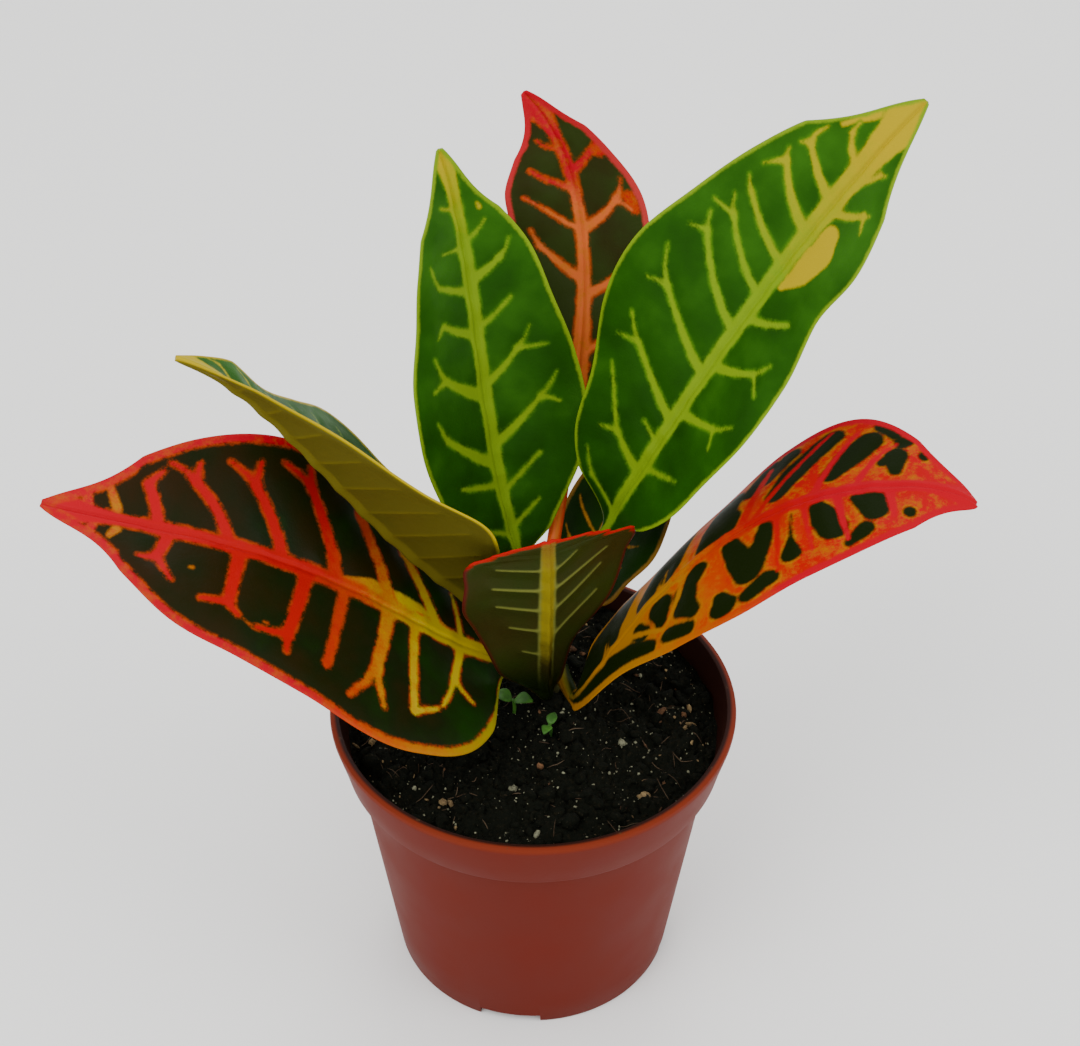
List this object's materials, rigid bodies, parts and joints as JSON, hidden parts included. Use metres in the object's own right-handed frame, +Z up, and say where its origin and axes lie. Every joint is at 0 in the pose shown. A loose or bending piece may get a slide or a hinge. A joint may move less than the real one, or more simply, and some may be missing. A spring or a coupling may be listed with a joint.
{
  "type": "potted croton plant",
  "caption": "Small croton with upright and spreading pointed leaves, green and red with yellow and orange veins, growing in a round tapered terracotta-coloured plastic pot.",
  "frame": {"origin": "centre of the pot's foot, on the plane that the pot stands on", "axes": "+Z up along the pot's axis, +X towards the tall leaf at the right of the picture, -Y towards the camera of the picture"},
  "size_m": [0.1873, 0.1122, 0.2124],
  "materials": {
    "pot_plastic": "satin injection-moulded polypropylene, terracotta brown",
    "potting_soil": "damp peat with pale mineral grains",
    "stem_bark": "green-brown young bark",
    "leaf_green_bright": "waxy leaf, green with lime-yellow veins",
    "leaf_green": "waxy leaf, green with yellow-green veins",
    "leaf_red_dark": "waxy leaf, dark with red and orange veins",
    "leaf_olive": "waxy leaf, olive gold below and green above",
    "leaf_red_crimson": "waxy leaf, dark green with crimson and yellow veins",
    "leaf_red_orange": "waxy leaf, orange and red with dark spots",
    "leaf_underside": "waxy leaf, dark olive with pale veins and a red margin",
    "leaf_green_dark": "waxy leaf, dark green with a tan margin",
    "seedling_green": "soft green seed leaves"
  },
  "bodies": {
    "root": {"pot": "pot_plastic", "soil": "potting_soil", "stem": "stem_bark", "leaf_tall_right": "leaf_green_bright", "leaf_tall_left": "leaf_green", "leaf_tall_rear": "leaf_red_dark", "leaf_folded_left": "leaf_olive", "leaf_low_left": "leaf_red_crimson", "leaf_low_right": "leaf_red_orange", "leaf_short_front": "leaf_underside", "leaf_rear_right": "leaf_green_dark", "seedling_left": "seedling_green", "seedling_front": "seedling_green"}
  },
  "joints": []
}
